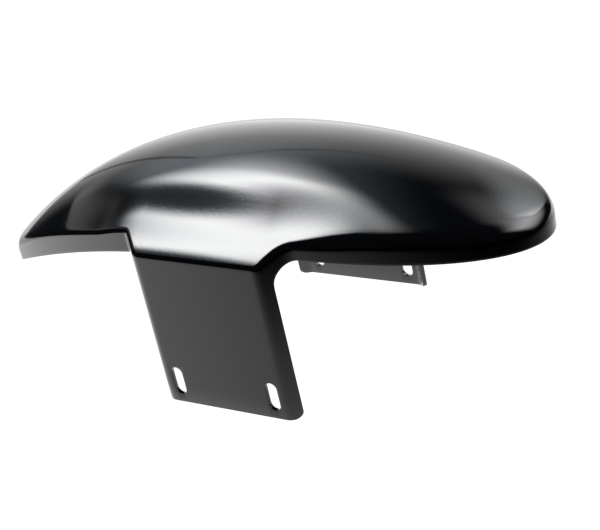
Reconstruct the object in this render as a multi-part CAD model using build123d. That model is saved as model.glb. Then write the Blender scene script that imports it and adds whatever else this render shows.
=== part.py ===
from build123d import *
import math
import os

# Motorcycle front mudguard, one shell. Millimetres. X runs to the nose, Y across the wheel, Z up along
# the mounting plates. The origin is the middle of the four bolt slots. The heights below are measured
# from the plates' lower edges.

# The shell
wall = 3.0
bend_radius = 6.0               # outer radius where the crown turns down into the skirt

# The crown, which follows the tyre: two arcs along the wheel and a parabola across it
crown_top = 163.5               # its highest point
crown_lead = 14.0               # how far that point lies ahead of the plates' middle
crown_nose_radius = 450.0       # along the wheel, ahead of that point
crown_tail_radius = 392.0       # and behind it
section_radius = 95.0           # across the wheel, at the crest

# The body's outline from above: a half ellipse to the nose, and a longer one that is cut off at the tail
nose_reach = 193.5              # from the crown's top
tail_taper_reach = 278.0        # where the tail's ellipse would end
tail_reach = 227.5              # where it is cut off
tail_round = 21.0               # corners of the cut

# The hem, the lower edge of the skirt seen from the side
nose_hem_drop = 48.5            # below the crown's top, beside the plates
nose_hem_fall = 4.2             # degrees, down towards the nose
tail_hem_drop = 56.4            # the same towards the tail
tail_hem_fall = 6.2             # degrees beside the plates, more towards the tail
tail_hem_radius = 560.0

# The mounting plates
mount_width = 185.0             # over both plates' outer faces
plate_step = 11.5               # how far a plate stands out from the widest part of the body
plate_length = 100.0            # flat length between the turned edges
edge_angle = 45.0               # degrees by which the upright edges turn in
edge_reach = 6.5                # how far a turned edge reaches past the flat
edge_bend = 10.0                # outer radius of that turn
plate_corner = 5.0              # lower corners
nose_corner = 16.0              # inner corner between plate and hem, towards the nose
tail_corner = 4.0               # the same towards the tail
nose_flank = 20.0               # radius in plan where the plate's flank meets the body, towards the nose
tail_flank = 5.0

# The shoulder over each plate
shoulder_drop = 50.5            # below the crown's top, where the crown meets the plate
nose_fade = 95.0                # length over which the shoulder and its hollow die out ahead of the plate
tail_fade = 45.0                # the same for the shoulder behind the plate
scallop_depth = 4.7             # hollow between the crown and the shoulder
scallop_start = 40.5            # distance from the middle plane where the hollow begins
scallop_fade = 130.0            # length over which the hollow dies out behind the plate

# The slots for the fork bolts
slot_width = 9.0
slot_length = 21.0
slot_spacing = 78.0
slot_height = 17.0              # slot centre above the plate's lower edge

# Construction allowances
margin = 20.0                   # how far a cutting shape runs past what it cuts
skin_overrun = 4.0              # how far the crown's surface runs past the outline before it is trimmed
grid_step = 10.0                # spacing of the points that carry the crown's surface
skin_tolerance = 0.001          # how closely that surface keeps to its points
slope_step = 0.01               # distance over which the crown's slope is taken
near = 1.0                      # corners nearer than this to a line count as lying on it

plate_half = mount_width / 2
body_half_width = plate_half - plate_step
flank_turn = math.radians(edge_angle)
nose_hem_height = crown_top - nose_hem_drop
tail_hem_height = crown_top - tail_hem_drop
shoulder_height = crown_top - shoulder_drop


def ease(share):
    share = min(max(share, 0.0), 1.0)
    return share * share * (3 - 2 * share)


def share_left(x, tail_length):
    past = abs(x) - plate_length / 2
    fade = nose_fade if x > 0 else tail_length
    return ease(1 - past / fade)


def plain_crown(x, y):
    radius = crown_nose_radius if x > crown_lead else crown_tail_radius
    fall_along = radius - math.sqrt(radius**2 - (x - crown_lead) ** 2)
    fall_aside = y**2 / (2 * section_radius)
    return crown_top - fall_along - fall_aside


def crown_height(x, y):
    out = (abs(y) - scallop_start) / (plate_half - scallop_start)
    lift = ease(out) * (shoulder_height - plain_crown(x, plate_half))
    hollow = scallop_depth * math.sin(math.pi * min(max(out, 0.0), 1.0)) ** 2
    return plain_crown(x, y) + share_left(x, tail_fade) * lift - share_left(x, scallop_fade) * hollow


def skin_point(x, y, inset):
    height = crown_height(x, y)
    rise_x = (crown_height(x + slope_step, y) - height) / slope_step
    rise_y = (crown_height(x, y + slope_step) - height) / slope_step
    return Vector(x, y, height - inset * math.sqrt(1 + rise_x**2 + rise_y**2))


def spread(start, end):
    count = math.ceil((end - start) / grid_step)
    return [start + (end - start) * i / count for i in range(count + 1)]


def crown_block(inset):
    rows = spread(crown_lead - tail_reach - skin_overrun, crown_lead + nose_reach + skin_overrun)
    columns = spread(-plate_half - skin_overrun, plate_half + skin_overrun)
    points = [[skin_point(x, y, inset) for y in columns] for x in rows]
    skin = Face.make_surface_from_array_of_points(points, tol=skin_tolerance, min_deg=3, max_deg=8)
    return Solid.extrude(skin, Vector(0, 0, -2 * crown_top))


def body_outline(inset):
    half = body_half_width - inset
    nose = EllipticalCenterArc((crown_lead, 0), nose_reach - inset, half, start_angle=-90, arc_size=180)
    tail = EllipticalCenterArc((crown_lead, 0), tail_taper_reach - inset, half, start_angle=90, arc_size=180)
    tail_end = crown_lead - tail_reach + inset
    beyond = Pos(tail_end, 0) * Rectangle(tail_taper_reach, mount_width, align=(Align.MAX, Align.CENTER))
    outline = make_face([nose, tail]) - beyond
    return fillet([v for v in outline.vertices() if v.X < tail_end + near], tail_round - inset)


def plate_outline(inset):
    half = plate_half - inset
    flat = plate_length / 2 - inset * math.tan(flank_turn / 2)
    foot = flat + half / math.tan(flank_turn)
    corners = [(flat, half), (foot, 0), (flat, -half), (-flat, -half), (-foot, 0), (-flat, half)]
    return make_face(Polyline(*corners, close=True))


def plan_outline(inset):
    outline = body_outline(inset) + plate_outline(inset)
    inside = plate_half - inset - near
    behind = crown_lead - tail_reach / 2
    nose_meets = [v for v in outline.vertices() if v.X > 0 and abs(v.Y) < inside]
    outline = fillet(nose_meets, nose_flank + inset)
    tail_meets = [v for v in outline.vertices() if behind < v.X < 0 and abs(v.Y) < inside]
    outline = fillet(tail_meets, tail_flank + inset)
    return fillet([v for v in outline.vertices() if abs(v.Y) > inside], edge_bend - inset)


def filled_body(inset):
    column = Pos(0, 0, -margin) * extrude(plan_outline(inset), crown_top + 2 * margin)
    block = crown_block(inset) & column
    top = block.faces().sort_by(Axis.Z)[-1]
    return fillet(top.edges(), bend_radius - inset)


def side_profile():
    end = plate_length / 2 + edge_reach
    nose_end = crown_lead + nose_reach + margin
    nose_end_hem = nose_hem_height - (nose_end - end) * math.tan(math.radians(nose_hem_fall))
    lid = crown_top + margin
    fall = math.radians(tail_hem_fall)
    behind_plate = tail_reach + margin - crown_lead - end
    turn = math.asin(math.sin(fall) + behind_plate / tail_hem_radius) - fall
    heading = (-math.cos(fall), -math.sin(fall))
    tail_hem = JernArc((-end, tail_hem_height), heading, tail_hem_radius, math.degrees(turn))
    tail_tip = tail_hem @ 1
    upper = [(tail_tip.X, tail_tip.Y), (tail_tip.X, lid), (nose_end, lid), (nose_end, nose_end_hem)]
    lower = [(end, nose_hem_height), (end, 0), (-end, 0), (-end, tail_hem_height)]
    profile = make_face([tail_hem, Polyline(*upper, *lower)])
    profile = fillet([v for v in profile.vertices() if v.Y < near], plate_corner)
    profile = fillet([v for v in profile.vertices() if abs(v.X - end) < near and v.Y > lid / 2], nose_corner)
    return fillet([v for v in profile.vertices() if abs(v.X + end) < near and v.Y > lid / 2], tail_corner)


def across(profile):
    return extrude(Plane.XZ * profile, plate_half + margin, both=True)


def slots():
    slot = SlotOverall(slot_length, slot_width, rotation=90)
    return Sketch() + [Pos(side * slot_spacing / 2, slot_height) * slot for side in (-1, 1)]


def mudguard():
    trimmed = filled_body(0) & across(side_profile())
    shell = trimmed - filled_body(wall) - across(slots())
    return Pos(0, 0, -slot_height) * shell


os.makedirs("parts", exist_ok=True)
export_step(mudguard(), "parts/mudguard.step")
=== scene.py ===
import math
from bisect import bisect_right

import bpy
from mathutils import Matrix, Vector


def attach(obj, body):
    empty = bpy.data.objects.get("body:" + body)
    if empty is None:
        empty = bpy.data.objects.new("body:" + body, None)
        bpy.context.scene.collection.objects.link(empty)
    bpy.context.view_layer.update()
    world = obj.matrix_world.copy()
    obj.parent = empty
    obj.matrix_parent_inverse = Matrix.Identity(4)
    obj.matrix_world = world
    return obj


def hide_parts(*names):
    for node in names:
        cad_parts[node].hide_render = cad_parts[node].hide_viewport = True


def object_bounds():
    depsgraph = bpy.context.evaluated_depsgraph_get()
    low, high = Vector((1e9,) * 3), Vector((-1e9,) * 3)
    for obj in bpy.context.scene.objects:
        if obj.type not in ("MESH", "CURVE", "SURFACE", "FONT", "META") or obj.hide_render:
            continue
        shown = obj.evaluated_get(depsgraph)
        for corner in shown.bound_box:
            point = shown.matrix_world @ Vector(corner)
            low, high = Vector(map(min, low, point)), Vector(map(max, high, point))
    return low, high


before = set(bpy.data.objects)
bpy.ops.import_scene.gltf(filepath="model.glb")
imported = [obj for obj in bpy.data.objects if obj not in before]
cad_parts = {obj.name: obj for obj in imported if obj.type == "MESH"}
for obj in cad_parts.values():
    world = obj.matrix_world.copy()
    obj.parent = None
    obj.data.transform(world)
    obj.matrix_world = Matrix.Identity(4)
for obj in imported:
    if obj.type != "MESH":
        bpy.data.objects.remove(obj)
cadLow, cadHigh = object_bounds()
print("frame loaded:", sorted(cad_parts))


def clearSelection():
    if bpy.context.object and bpy.context.object.mode != "OBJECT":
        bpy.ops.object.mode_set(mode="OBJECT")
    bpy.ops.object.select_all(action="DESELECT")


def takeUp(piece):  # makes one object the only selected and the active one
    clearSelection()
    piece.select_set(True)
    bpy.context.view_layer.objects.active = piece


def editAll(piece):
    takeUp(piece)
    bpy.ops.object.mode_set(mode="EDIT")
    bpy.ops.mesh.select_all(action="SELECT")


def pick(piece, kind, test):  # edit mode with only the fitting points or faces selected
    editAll(piece)
    bpy.ops.mesh.select_mode(type=kind)
    bpy.ops.mesh.select_all(action="DESELECT")
    bpy.ops.object.mode_set(mode="OBJECT")
    items = piece.data.vertices if kind == "VERT" else piece.data.polygons
    for item in items:
        item.select = test(item)
    bpy.ops.object.mode_set(mode="EDIT")


def applyAll(piece):
    takeUp(piece)
    for step in list(piece.modifiers):
        bpy.ops.object.modifier_apply(modifier=step.name)


guard = {  # millimetres and degrees, heights from the lower edges of the plates
    "wall": 3.0,
    "bend": 6.0,               # crown into skirt
    "noseBend": 13.0,          # the rim is rounder at the nose and at the tail's end
    "noseBendStart": 52.0,
    "noseBendRun": 50.0,
    "tailBend": 13.0,
    "tailBendStart": 160.0,
    "tailBendRun": 45.0,
    "top": 163.5,
    "lead": 14.0,              # highest point ahead of the plates' middle
    "noseRadius": 450.0,       # along the wheel, ahead of that point
    "tailRadius": 392.0,       # and behind it
    "sectionRadius": 95.0,     # across the wheel
    "halfWidth": 81.0,
    "noseReach": 193.5,        # from the highest point
    "tailTaper": 278.0,        # where the tail's ellipse would end
    "tailReach": 227.5,        # where it is cut off
    "tailRound": 21.0,
    "noseHem": 115.0,
    "noseHemFall": 4.2,
    "tailHem": 107.1,
    "tailHemFall": 6.2,
    "tailHemRadius": 560.0,
    "plateHalf": 92.5,         # middle plane to a plate's outer face
    "plateLength": 100.0,
    "edgeAngle": 45.0,         # by which a plate's upright edges turn in
    "edgeReach": 6.5,
    "edgeBend": 10.0,
    "plateCorner": 5.0,
    "noseCorner": 16.0,        # between plate and hem
    "tailCorner": 4.0,
    "noseFlank": 20.0,         # between plate and body, from above
    "tailFlank": 5.0,
    "shoulder": 113.0,
    "noseFade": 95.0,
    "tailFade": 45.0,
    "hollow": 4.7,             # between crown and shoulder
    "hollowStart": 40.5,
    "hollowFade": 130.0,       # it runs on towards the tail
    "slotWidth": 9.0,
    "slotLength": 21.0,
    "slotSpacing": 78.0,
    "slotHeight": 17.0,
    "edgeBreak": 0.35,         # softened hem and slot edges
    "edgeSteps": 2,
    "sharpEdge": 50.0,         # an edge that turns more than this is softened
    "smoothEdge": 40.0,        # one that turns less than this is shaded smooth
    "spineTail": -150.0,       # where the mesh rows gather under the crest
    "spineNose": 145.0,
    "crownRows": 30,
    "bendRows": 9,
    "skirtRows": 5,
    "plateRows": 7,
    "columnStep": 3.2,         # along a straight outline
    "columnTurn": 7.0,         # round a bend of the outline
    "columnGap": 0.45,         # least distance to a column at a corner
    "lastGap": 0.8,            # and to the one at the nose's tip
    "noseCornerColumns": 10,
    "tailCornerColumns": 6,
    "plateCornerColumns": 6,
    "outlineStep": 0.1,
    "arcSteps": 4,             # at least
    "samePoint": 1e-6,         # nearer points of the outline are one
    "justPast": 1e-9,          # a plate's end, where the hem's height is taken
    "normalSpan": 4,           # outline steps to each side that give its direction
    "cutSearch": (1.7, 2.9),   # radians round the ellipse, between which a round leaves it
    "tailSearch": (1.6, 2.4),
    "noseSearch": (1.5, 0.7),
    "halvings": 60,            # of such a search
    "slopeStep": 0.02,
    "seatSteps": 12,           # to find where the bend begins
    "slotSides": 48,
    "cutterLength": 240.0,
    "weld": 0.002,
}
plateEnd = guard["plateLength"] / 2 + guard["edgeReach"]


def ease(share):
    share = min(max(share, 0.0), 1.0)
    return share * share * (3 - 2 * share)


def shareLeft(x, tailLength):
    past = abs(x) - guard["plateLength"] / 2
    return ease(1 - past / (guard["noseFade"] if x > 0 else tailLength))


def plainCrown(x, y):
    r = guard["noseRadius"] if x > guard["lead"] else guard["tailRadius"]
    fallAlong = r - math.sqrt(r * r - (x - guard["lead"]) ** 2)
    return guard["top"] - fallAlong - y * y / (2 * guard["sectionRadius"])


def crownHeight(x, y):
    out = (abs(y) - guard["hollowStart"]) / (guard["plateHalf"] - guard["hollowStart"])
    lift = ease(out) * (guard["shoulder"] - plainCrown(x, guard["plateHalf"]))
    hollow = guard["hollow"] * math.sin(math.pi * min(max(out, 0.0), 1.0)) ** 2
    lifted = plainCrown(x, y) + shareLeft(x, guard["tailFade"]) * lift
    return lifted - shareLeft(x, guard["hollowFade"]) * hollow


def signChange(test, low, high):  # where test crosses zero
    lowSign = test(low) > 0
    for halving in range(guard["halvings"]):
        middle = (low + high) / 2
        if (test(middle) > 0) == lowSign:
            low = middle
        else:
            high = middle
    return (low + high) / 2


def arcPoints(centre, radius, start, end):
    count = max(guard["arcSteps"], math.ceil(abs(end - start) * radius / guard["outlineStep"]))
    turns = [start + (end - start) * i / count for i in range(count + 1)]
    return [(centre[0] + radius * math.cos(turn), centre[1] + radius * math.sin(turn)) for turn in turns]


def linePoints(start, end):
    count = max(1, math.ceil(math.dist(start, end) / guard["outlineStep"]))
    along, aside = end[0] - start[0], end[1] - start[1]
    return [(start[0] + along * i / count, start[1] + aside * i / count) for i in range(count + 1)]


def ellipsePoint(reach, turn):
    return guard["lead"] + reach * math.cos(turn), guard["halfWidth"] * math.sin(turn)


def ellipseNormal(reach, turn):
    n = Vector((math.cos(turn) / reach, math.sin(turn) / guard["halfWidth"])).normalized()
    return n.x, n.y


def ellipsePoints(reach, start, end):
    count = math.ceil(abs(end - start) * reach / guard["outlineStep"])
    return [ellipsePoint(reach, start + (end - start) * i / count) for i in range(count + 1)]


def ellipseHeading(reach, turn, back=1):
    n = ellipseNormal(reach, turn)
    return math.atan2(back * n[1], back * n[0])


def roundCentre(reach, radius, side, turn):  # of a round that touches the ellipse from one side
    p, n = ellipsePoint(reach, turn), ellipseNormal(reach, turn)
    return p[0] + side * radius * n[0], p[1] + side * radius * n[1]


def flankTurn(reach, radius, sign, search):  # where the round into a plate's flank leaves the ellipse
    slope = math.radians(guard["edgeAngle"])

    def gap(turn):
        c = roundCentre(reach, radius, 1, turn)
        along, aside = (c[0] - sign * guard["plateLength"] / 2) * sign, c[1] - guard["plateHalf"]
        return along * math.sin(slope) + aside * math.cos(slope) - radius

    return signChange(gap, *search)


def tailPoints(tailTurn):  # from the middle of the tail's end to the plate's flank
    end, reach, radius = guard["lead"] - guard["tailReach"], guard["tailTaper"], guard["tailRound"]

    def gap(turn):
        return roundCentre(reach, radius, -1, turn)[0] - end - radius

    cutTurn = signChange(gap, *guard["cutSearch"])
    corner = roundCentre(reach, radius, -1, cutTurn)
    points = linePoints((end, 0), (end, corner[1]))
    points += arcPoints(corner, radius, math.pi, ellipseHeading(reach, cutTurn))
    return points + ellipsePoints(reach, cutTurn, tailTurn)


def platePoints(tailTurn, noseTurn):  # along a plate with its turned edges and the rounds beside them
    tail, nose, bend = guard["tailTaper"], guard["noseReach"], guard["edgeBend"]
    slope, square = math.radians(guard["edgeAngle"]), math.pi / 2
    tailCentre = roundCentre(tail, guard["tailFlank"], 1, tailTurn)
    noseCentre = roundCentre(nose, guard["noseFlank"], 1, noseTurn)
    bendX = guard["plateLength"] / 2 - bend * math.tan(slope / 2)
    bendY = guard["plateHalf"] - bend
    points = arcPoints(tailCentre, guard["tailFlank"], ellipseHeading(tail, tailTurn, -1), slope - square)
    points += arcPoints((-bendX, bendY), bend, square + slope, square)
    points += linePoints((-bendX, guard["plateHalf"]), (bendX, guard["plateHalf"]))
    points += arcPoints((bendX, bendY), bend, square, square - slope)
    noseHeading = ellipseHeading(nose, noseTurn, -1)
    return points + arcPoints(noseCentre, guard["noseFlank"], -square - slope, noseHeading)


def sideOutline():  # plan outline from the tail's middle round the left side to the nose
    tailTurn = flankTurn(guard["tailTaper"], guard["tailFlank"], -1, guard["tailSearch"])
    noseTurn = flankTurn(guard["noseReach"], guard["noseFlank"], 1, guard["noseSearch"])
    points = tailPoints(tailTurn) + platePoints(tailTurn, noseTurn)
    points += ellipsePoints(guard["noseReach"], noseTurn, 0.0)
    dense = [points[0]]
    for point in points[1:]:  # fill the straight flanks and drop doubles
        for p in linePoints(dense[-1], point)[1:]:
            if math.dist(p, dense[-1]) > guard["samePoint"]:
                dense.append(p)
    return dense


def tailHem(x):
    fall, r = math.radians(guard["tailHemFall"]), guard["tailHemRadius"]
    turn = math.asin(math.sin(fall) + (-plateEnd - x) / r)
    return guard["tailHem"] + r * (math.cos(turn) - math.cos(fall)), turn


def noseHem(x):
    fall = math.radians(guard["noseHemFall"])
    return guard["noseHem"] - (x - plateEnd) * math.tan(fall), fall


def hemHeight(x):  # lower edge of the skirt outside the plates, with the rounded inner corners
    line = noseHem if x > 0 else tailHem
    radius = guard["noseCorner"] if x > 0 else guard["tailCorner"]
    reach = abs(x) - plateEnd
    height, fall = line(math.copysign(plateEnd + radius, x))
    if reach < radius * (1 + math.sin(fall)):
        centre = height - radius / math.cos(fall)
        return centre + math.sqrt(max(radius * radius - (reach - radius) ** 2, 0.0))
    return line(x)[0]


def skirtFoot(x, onPlate):  # across a plate, a straight line between the hems beside it
    beside = plateEnd + guard["justPast"]
    if not onPlate:
        return hemHeight(math.copysign(max(abs(x), beside), x))
    left, right = hemHeight(-beside), hemHeight(beside)
    return left + (right - left) * (x + plateEnd) / (2 * plateEnd)


def plateFoot(x):  # lower edge of a plate with its rounded corners
    radius = guard["plateCorner"]
    past = max(abs(x) - (plateEnd - radius), 0.0)
    return radius - math.sqrt(max(radius * radius - past * past, 0.0))


def runningLength(points):
    run = [0.0]
    for a, b in zip(points, points[1:]):
        run.append(run[-1] + math.dist(a, b))
    return run


def outlineAt(dense, run, length):  # place and inward normal
    low = min(bisect_right(run, length) - 1, len(run) - 2)
    share = (length - run[low]) / (run[low + 1] - run[low])
    a, b = dense[low], dense[low + 1]
    before = dense[max(low - guard["normalSpan"], 0)]
    after = dense[min(low + 1 + guard["normalSpan"], len(dense) - 1)]
    tangent = Vector((after[0] - before[0], after[1] - before[1])).normalized()
    return a[0] + (b[0] - a[0]) * share, a[1] + (b[1] - a[1]) * share, tangent.y, -tangent.x


def cornerPlaces():  # columns that follow the rounded corners of hem and plates
    places = []
    for end, sign in (("nose", 1), ("tail", -1)):
        radius, count = guard[end + "Corner"], guard[end + "CornerColumns"]
        for i in range(1, count + 1):
            places.append(sign * (plateEnd + radius * (1 - math.cos(math.pi / 2 * i / count))))
    radius, count = guard["plateCorner"], guard["plateCornerColumns"]
    for i in range(count):
        x = plateEnd - radius * (1 - math.sin(math.pi / 2 * i / count))
        places += [-x, x]
    return places


def freeLengths(dense, run):  # the other columns, closer where the outline turns sharply
    lengths, grown = [0.0], 0.0
    for i in range(1, len(dense) - 1):
        a, b = Vector(dense[i]) - Vector(dense[i - 1]), Vector(dense[i + 1]) - Vector(dense[i])
        turned = abs(a.angle_signed(b)) / math.radians(guard["columnTurn"])
        grown += (run[i] - run[i - 1]) / guard["columnStep"] + turned
        if grown >= 1:
            lengths.append(run[i])
            grown = 0.0
    return lengths


def stations():  # columns along one side: x, y, inward normal, share of the way, on the plate or not
    dense = sideOutline()
    run = runningLength(dense)
    total = run[-1]

    def lengthAt(x):  # the plates lie well inside this part of the outline
        return signChange(lambda length: outlineAt(dense, run, length)[0] - x, total * 0.1, total * 0.9)

    edges = [lengthAt(-plateEnd), lengthAt(plateEnd)]
    kept = [lengthAt(x) for x in cornerPlaces()] + edges
    free = [length for length in freeLengths(dense, run)
            if all(abs(length - other) > guard["columnGap"] for other in kept)]
    lengths = sorted(free + kept + [total])
    if lengths[-1] - lengths[-2] < guard["lastGap"]:
        lengths.pop(-2)
    found = []
    for length in lengths:
        x, y, nx, ny = outlineAt(dense, run, length)
        twins = [abs(x) < plateEnd]
        if length in edges:  # one column ends at the hem and its twin at the plate's foot
            x = math.copysign(plateEnd, x)
            twins = [x > 0, x < 0]
        found += [(x, y, nx, ny, length / total, onPlate) for onPlate in twins]
    found[0] = (found[0][0], 0.0, 1.0, 0.0, 0.0, False)
    found[-1] = (found[-1][0], 0.0, -1.0, 0.0, 1.0, False)
    return found


def bendRadius(x):
    end = "nose" if x > 0 else "tail"
    grown = ease((abs(x) - guard[end + "BendStart"]) / guard[end + "BendRun"])
    return guard["bend"] + grown * (guard[end + "Bend"] - guard["bend"])


def bendSeat(x, y, nx, ny, radius):  # where a ball in the bend touches the crown, and the ball's height
    def heightAt(depth):
        return crownHeight(x + nx * depth, y + ny * depth)

    depth, slope, step = radius, 0.0, guard["slopeStep"]
    for attempt in range(guard["seatSteps"]):
        slope = (heightAt(depth + step) - heightAt(depth)) / step
        depth = radius - radius * slope / math.sqrt(1 + slope * slope)
    return depth, slope, heightAt(depth) - radius / math.sqrt(1 + slope * slope)


def columnPoints(station):  # one column from the crest down to the hem or the plate's foot
    x, y, nx, ny, share, onPlate = station
    radius = bendRadius(x)
    depth, slope, centre = bendSeat(x, y, nx, ny, radius)
    spine = guard["spineTail"] + (guard["spineNose"] - guard["spineTail"]) * share
    column = []
    for i in range(guard["crownRows"] + 1):
        part = i / guard["crownRows"]
        px, py = spine + (x + nx * depth - spine) * part, (y + ny * depth) * part
        column.append((px, py, crownHeight(px, py)))
    first = math.atan2(1.0, -slope)
    for i in range(1, guard["bendRows"] + 1):
        turn = first + (math.pi - first) * i / guard["bendRows"]
        inward = radius + radius * math.cos(turn)
        column.append((x + nx * inward, y + ny * inward, centre + radius * math.sin(turn)))
    hem = skirtFoot(x, onPlate)
    foot = plateFoot(x) if onPlate else hem
    for start, end, rows in ((centre, hem, guard["skirtRows"]), (hem, foot, guard["plateRows"])):
        column += [(x, y, start + (end - start) * i / rows) for i in range(1, rows + 1)]
    return column


def makeSkin():  # a grid laid over the guard's outside, a column at a time
    side = stations()
    loop = list(side)
    for x, y, nx, ny, share, onPlate in reversed(side[:-1]):  # back along the other side
        loop.append((x, -y, nx, -ny, share, onPlate))
    columns = [columnPoints(station) for station in loop]
    across, down = len(columns) - 1, len(columns[0]) - 1
    clearSelection()
    bpy.ops.mesh.primitive_grid_add(x_subdivisions=across, y_subdivisions=down, size=1.0)
    shell = bpy.context.object
    shell.name = "mudguardShell"
    columnOf = {}
    for v in shell.data.vertices:
        i, j = round((v.co.x + 0.5) * across), round((0.5 - v.co.y) * down)
        x, y, z = columns[i][j]
        columnOf[v.index] = i
        v.co = Vector((x, y, z - guard["slotHeight"])) / 1000

    def betweenTwins(face):  # a hem column and its twin on the plate
        strip = sorted({columnOf[i] for i in face.vertices})
        return len(strip) == 2 and loop[strip[0]][5] != loop[strip[1]][5]

    pick(shell, "FACE", betweenTwins)
    bpy.ops.mesh.delete(type="ONLY_FACE")
    return shell


def weldSkin(shell):
    editAll(shell)
    bpy.ops.mesh.select_mode(type="VERT")
    bpy.ops.mesh.select_all(action="SELECT")
    bpy.ops.mesh.remove_doubles(threshold=guard["weld"] / 1000)
    bpy.ops.mesh.dissolve_degenerate(threshold=guard["weld"] / 2000)
    bpy.ops.mesh.select_all(action="SELECT")
    bpy.ops.mesh.delete_loose()
    bpy.ops.mesh.select_all(action="SELECT")
    bpy.ops.mesh.normals_make_consistent(inside=False)
    bpy.ops.object.mode_set(mode="OBJECT")
    crest = max(shell.data.polygons, key=lambda face: face.center.z)
    if crest.normal.z < 0:
        editAll(shell)
        bpy.ops.mesh.flip_normals()
        bpy.ops.object.mode_set(mode="OBJECT")


def addWall(shell):
    wall = shell.modifiers.new("wall", "SOLIDIFY")
    wall.thickness = guard["wall"] / 1000
    wall.offset = -1
    wall.use_even_offset = True
    wall.use_quality_normals = True
    applyAll(shell)


def makeSlotCutter(x):
    clearSelection()
    bpy.ops.mesh.primitive_cylinder_add(vertices=guard["slotSides"], radius=guard["slotWidth"] / 2000,
                                        depth=guard["cutterLength"] / 1000, location=(x / 1000, 0, 0),
                                        rotation=(math.pi / 2, 0, 0))
    cutter = bpy.context.object
    bpy.ops.object.transform_apply(location=True, rotation=True, scale=True)
    pull = (guard["slotLength"] - guard["slotWidth"]) / 2000
    for side in (1, -1):  # pull the halves apart into a slot
        pick(cutter, "VERT", lambda v: v.co.z * side > guard["weld"] / 1000)
        bpy.ops.transform.translate(value=(0, 0, side * pull))
        bpy.ops.object.mode_set(mode="OBJECT")
    return cutter


def cutSlots(shell):
    cutters = [makeSlotCutter(sign * guard["slotSpacing"] / 2) for sign in (-1, 1)]
    for i, cutter in enumerate(cutters):
        slot = shell.modifiers.new("slot%d" % i, "BOOLEAN")
        slot.operation = "DIFFERENCE"
        slot.solver = "EXACT"
        slot.object = cutter
    applyAll(shell)
    for cutter in cutters:
        bpy.data.objects.remove(cutter)


def softenEdges(shell):
    edge = shell.modifiers.new("edges", "BEVEL")
    edge.width = guard["edgeBreak"] / 1000
    edge.segments = guard["edgeSteps"]
    edge.limit_method = "ANGLE"
    edge.angle_limit = math.radians(guard["sharpEdge"])
    edge.use_clamp_overlap = False
    applyAll(shell)
    bpy.ops.object.shade_smooth_by_angle(angle=math.radians(guard["smoothEdge"]))


shell = makeSkin()
weldSkin(shell)
addWall(shell)
cutSlots(shell)
softenEdges(shell)
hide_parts("mudguard")
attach(shell, "root")
print("shell:", len(shell.data.vertices), "points", len(shell.data.polygons), "faces")


class Wire:  # a socket that can be used in sums
    def __init__(self, tree, socket=None):
        self.tree, self.socket = tree, socket

    def node(self, kind, settings=None, out=0, **values):  # a value is a number, a colour or another wire
        made = self.tree.nodes.new(kind)
        for key, value in (settings or {}).items():
            setattr(made, key, value)
        for key, value in values.items():  # in0 and the like are places in the node's list of sockets
            place = key[2:] if key.startswith("in") else ""
            socket = made.inputs[int(place) if place.isdigit() else key.replace("_", " ")]
            if isinstance(value, Wire):
                self.tree.links.new(value.socket, socket)
            else:
                socket.default_value = value
        return Wire(self.tree, made.outputs[out]) if len(made.outputs) else made

    def maths(self, operation, first, second):
        return self.node("ShaderNodeMath", {"operation": operation}, in0=first, in1=second)

    def __add__(self, other):
        return self.maths("ADD", self, other)

    def __sub__(self, other):
        return self.maths("SUBTRACT", self, other)

    def __rsub__(self, other):
        return self.maths("SUBTRACT", other, self)

    def __mul__(self, other):
        return self.maths("MULTIPLY", self, other)

    __radd__, __rmul__ = __add__, __mul__

    def part(self, index):  # x, y or z of a place
        return self.node("ShaderNodeSeparateXYZ", out=index, Vector=self)

    def rise(self, low, high):  # 0 below low, 1 above high, smooth between
        return self.node("ShaderNodeMapRange", {"interpolation_type": "SMOOTHSTEP"},
                         Value=self, From_Min=low, From_Max=high)


def newMaterial(name):
    material = bpy.data.materials.new(name)
    material.use_nodes = True
    material.node_tree.nodes.clear()
    wire = Wire(material.node_tree)
    return material, wire, wire.node("ShaderNodeTexCoord", out="Object")


glossBlack = {
    "deep": (0.0007, 0.0008, 0.0010, 1.0),
    "lifted": (0.0012, 0.0013, 0.0016, 1.0),
    "cloudScale": 9.0,
    "cloudDetail": 3.0,
    "roughness": 0.07,
    "roughSpread": 0.03,
    "hazeScale": 60.0,
    "hazeDetail": 4.0,
    "peelScale": 420.0,
    "peelDetail": 1.0,
    "peelStrength": 0.012,
    "peelDepth": 0.001,
    "ior": 1.5,
}


def makeGlossBlack():
    material, wire, place = newMaterial("glossBlack")

    def noise(kind):
        return wire.node("ShaderNodeTexNoise", Vector=place, Scale=glossBlack[kind + "Scale"],
                         Detail=glossBlack[kind + "Detail"])

    tint = wire.node("ShaderNodeMix", {"data_type": "RGBA"}, out=2, in0=noise("cloud"),
                     in6=glossBlack["deep"], in7=glossBlack["lifted"])
    roughness = glossBlack["roughness"] + (noise("haze") - 0.5) * glossBlack["roughSpread"]
    bump = wire.node("ShaderNodeBump", Height=noise("peel"), Strength=glossBlack["peelStrength"],
                     Distance=glossBlack["peelDepth"])
    body = wire.node("ShaderNodeBsdfPrincipled", Base_Color=tint, Roughness=roughness, Normal=bump,
                     IOR=glossBlack["ior"])
    wire.node("ShaderNodeOutputMaterial", Surface=body)
    return material


shell.data.materials.clear()
shell.data.materials.append(makeGlossBlack())
print("finish: gloss black")


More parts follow.
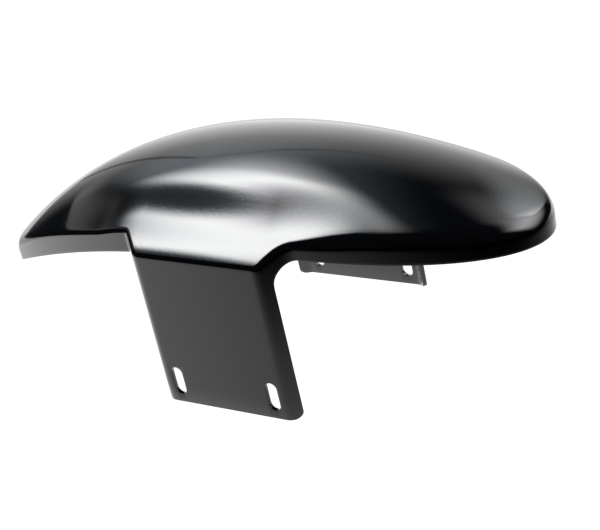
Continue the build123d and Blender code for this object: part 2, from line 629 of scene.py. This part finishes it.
def glow(name, light, colour=(1, 1, 1, 1), share=None, clear=True):  # share is a function of the place
    material, wire, place = newMaterial(name)
    lit = wire.node("ShaderNodeEmission", Color=colour, Strength=light)
    if clear:
        unlit = wire.node("ShaderNodeBsdfTransparent")
        lit = wire.node("ShaderNodeAddShader", in0=lit, in1=unlit)
    else:
        unlit = wire.node("ShaderNodeEmission", Strength=0.0)
    if share:
        lit = wire.node("ShaderNodeMixShader", in0=share(place), in1=unlit, in2=lit)
    wire.node("ShaderNodeOutputMaterial", Surface=lit)
    return material


def makeCard(name, size, matrix, material):
    clearSelection()
    bpy.ops.mesh.primitive_plane_add(size=1)
    card = bpy.context.object
    card.name = name
    bpy.ops.object.mode_set(mode="EDIT")
    bpy.ops.transform.resize(value=(size[0], size[1], 1))
    bpy.ops.object.mode_set(mode="OBJECT")
    card.matrix_world = matrix
    card.data.materials.append(material)
    return card


studio = {
    "middle": Vector((0, 0, 0.08)),
    "reach": 2.0,                # the panels stand this far off
    "room": (0.72, 0.84, 1.0, 1.0),
    "roomLight": 0.025,
}

panels = {  # heading and height in degrees, size in metres, soft edges: left, right, low and high
    "key": {"heading": 179.0, "height": 58.6, "roll": 40.6, "size": (1.87, 1.62), "light": 19.74,
            "soft": (1.45, 0.72, 0.26, 0.85), "tint": (1.0, 1.0, 1.0, 1)},
    "overhead": {"heading": 249.9, "height": 76.3, "roll": -34.9, "size": (0.93, 0.74), "light": 6.07,
                 "soft": (0.32, 1.07, 0.52, 0.43), "tint": (1.0, 1.0, 1.0, 1)},
    "backdrop": {"heading": 117.6, "height": 13.9, "roll": -11.8, "size": (4.03, 4.63), "light": 2.17,
                 "soft": (2.77, 2.05, 0.14, 2.25), "tint": (1.0, 1.0, 1.0, 1)},
    "noseStrip": {"heading": 75.2, "height": 35.1, "roll": 36.9, "size": (1.0, 2.1), "light": 6.6,
                  "soft": (0.12, 0.38, 2.56, 0.5), "tint": (0.95, 0.98, 1.0, 1)},
    "tailCard": {"heading": 174.3, "height": 23.2, "roll": 27.0, "size": (1.91, 0.3), "light": 0.62,
                 "soft": (0.51, 0.02, 0.01, 0.26), "tint": (1.0, 0.96, 0.92, 1)},
    "sideWall": {"heading": 30.0, "height": 38.0, "roll": 28.9, "size": (3.9, 2.4), "light": 7.2,
                 "soft": (1.1, 2.1, 1.4, 1.0), "tint": (0.97, 0.98, 1.0, 1)},
    "fill": {"heading": 159.8, "height": 56.1, "roll": 46.5, "size": (2.76, 2.49), "light": 1.66,
             "soft": (1.23, 0.24, 0.61, 1.74), "tint": (0.82, 0.9, 1.0, 1)},
}


def standAt(reach, *angles):  # faces the mudguard from a heading and height, rolled about the way there
    turn, rise, roll = (math.radians(angle) for angle in angles)
    out = Vector((math.cos(rise) * math.cos(turn), math.cos(rise) * math.sin(turn), math.sin(rise)))
    flat = Vector((-math.sin(turn), math.cos(turn), 0))
    steep = out.cross(flat)
    across = flat * math.cos(roll) + steep * math.sin(roll)
    up = steep * math.cos(roll) - flat * math.sin(roll)
    matrix = Matrix((across, up, out)).transposed().to_4x4()
    matrix.translation = studio["middle"] + out * reach
    return matrix


def makePanel(name, panel):
    width, height = panel["size"]
    left, right, low, high = panel["soft"]

    def share(place):
        u, v = place.part(0), place.part(1)
        sides = (u + width / 2).rise(0, left) * (width / 2 - u).rise(0, right)
        ends = (v + height / 2).rise(0, low) * (height / 2 - v).rise(0, high)
        return sides * ends

    matrix = standAt(studio["reach"], panel["heading"], panel["height"], panel["roll"])
    card = makeCard(name, panel["size"], matrix, glow(name, panel["light"], panel["tint"], share))
    card.visible_camera = card.visible_shadow = False


floor = {
    "size": 40.0,
    "light": 1.15,               # pale floor that the camera sees
    "bounceSize": 3.7,           # the same floor in the reflections
    "bounceLight": 2.19,
    "bounceDrop": 0.0002,        # it lies just below the other
    "cameraSide": -39.7,         # degrees
    "nearFade": (-0.26, 0.41),   # it goes dark towards the camera
    "farFade": (0.3, 0.8),       # and is dimmer far behind
    "farLoss": 0.45,
}


def makeFloor():
    level = Matrix.Translation((0, 0, cadLow.z))
    pale = glow("paleFloor", floor["light"], clear=False)
    paper = makeCard("floor", (floor["size"], floor["size"]), level, pale)
    paper.visible_glossy = paper.visible_diffuse = paper.visible_shadow = False

    def share(place):
        toward = place.part(0)
        far = 1 - (0 - toward).rise(*floor["farFade"]) * floor["farLoss"]
        return (1 - toward.rise(*floor["nearFade"])) * far

    turned = Matrix.Rotation(math.radians(floor["cameraSide"]), 4, "Z")
    below = Matrix.Translation((0, 0, cadLow.z - floor["bounceDrop"]))
    bright = glow("floorBounce", floor["bounceLight"], share=share, clear=False)
    bounce = makeCard("floorBounce", (floor["bounceSize"], floor["bounceSize"]), below @ turned, bright)
    bounce.visible_camera = False


darkFrame = {  # gives the thin dark line in the crown's reflection, metres in its own plane
    "heading": 127.0,
    "height": 22.0,
    "reach": 1.9,
    "across": (-0.85, 0.78),
    "upright": (-1.2, 0.88),
    "corner": 0.38,
    "cornerSteps": 16,
    "width": 0.045,
    "dark": 0.6,
    "fade": (-0.85, 0.2),
}


def makeDarkFrame():
    material, wire, place = newMaterial("darkFrame")
    cover = place.part(0).rise(*darkFrame["fade"]) * darkFrame["dark"]
    line = wire.node("ShaderNodeMixShader", in0=cover, in1=wire.node("ShaderNodeBsdfTransparent"),
                     in2=wire.node("ShaderNodeEmission", Strength=0.0))
    wire.node("ShaderNodeOutputMaterial", Surface=line)
    across, upright = darkFrame["across"], darkFrame["upright"]
    clearSelection()
    bpy.ops.mesh.primitive_plane_add(size=1)
    border = bpy.context.object
    border.name = "darkFrame"
    editAll(border)
    bpy.ops.transform.resize(value=(across[1] - across[0], upright[1] - upright[0], 1))
    bpy.ops.transform.translate(value=(sum(across) / 2, sum(upright) / 2, 0))
    bpy.ops.mesh.bevel(offset=darkFrame["corner"], segments=darkFrame["cornerSteps"], affect="VERTICES")
    bpy.ops.mesh.select_all(action="SELECT")
    bpy.ops.mesh.inset(thickness=darkFrame["width"])
    bpy.ops.mesh.delete(type="FACE")
    bpy.ops.object.mode_set(mode="OBJECT")
    border.matrix_world = standAt(darkFrame["reach"], darkFrame["heading"], darkFrame["height"], 0.0)
    border.data.materials.append(material)
    border.visible_camera = border.visible_shadow = False


def makeRoom():
    world = bpy.data.worlds.new("studio")
    bpy.context.scene.world = world
    world.use_nodes = True
    room = world.node_tree.nodes["Background"]
    room.inputs["Color"].default_value = studio["room"]
    room.inputs["Strength"].default_value = studio["roomLight"]
    bpy.context.scene.view_settings.view_transform = "Standard"


makeFloor()
makeDarkFrame()
for name, panel in panels.items():
    makePanel(name, panel)
makeRoom()
print("studio:", len(panels), "panels")


view = {
    "eye": (0.5898, -0.7345, 0.5105),
    "right": (0.8277, 0.5251, -0.1979),
    "up": (-0.0949, 0.4786, 0.8729),
    "lens": 90.66,
    "sensor": 36.0,
    "clip": (0.01, 50.0),
}


def makeCamera():
    clearSelection()
    bpy.ops.object.camera_add(location=view["eye"])
    camera = bpy.context.object
    right, up = Vector(view["right"]).normalized(), Vector(view["up"])
    up = (up - up.dot(right) * right).normalized()
    turned = Matrix((right, up, right.cross(up))).transposed().to_4x4()
    camera.matrix_world = Matrix.Translation(view["eye"]) @ turned
    camera.data.sensor_width = view["sensor"]
    camera.data.sensor_fit = "HORIZONTAL"
    camera.data.lens = view["lens"]
    camera.data.clip_start, camera.data.clip_end = view["clip"]
    camera.data.dof.use_dof = False
    bpy.context.scene.camera = camera


makeCamera()
print("camera set")
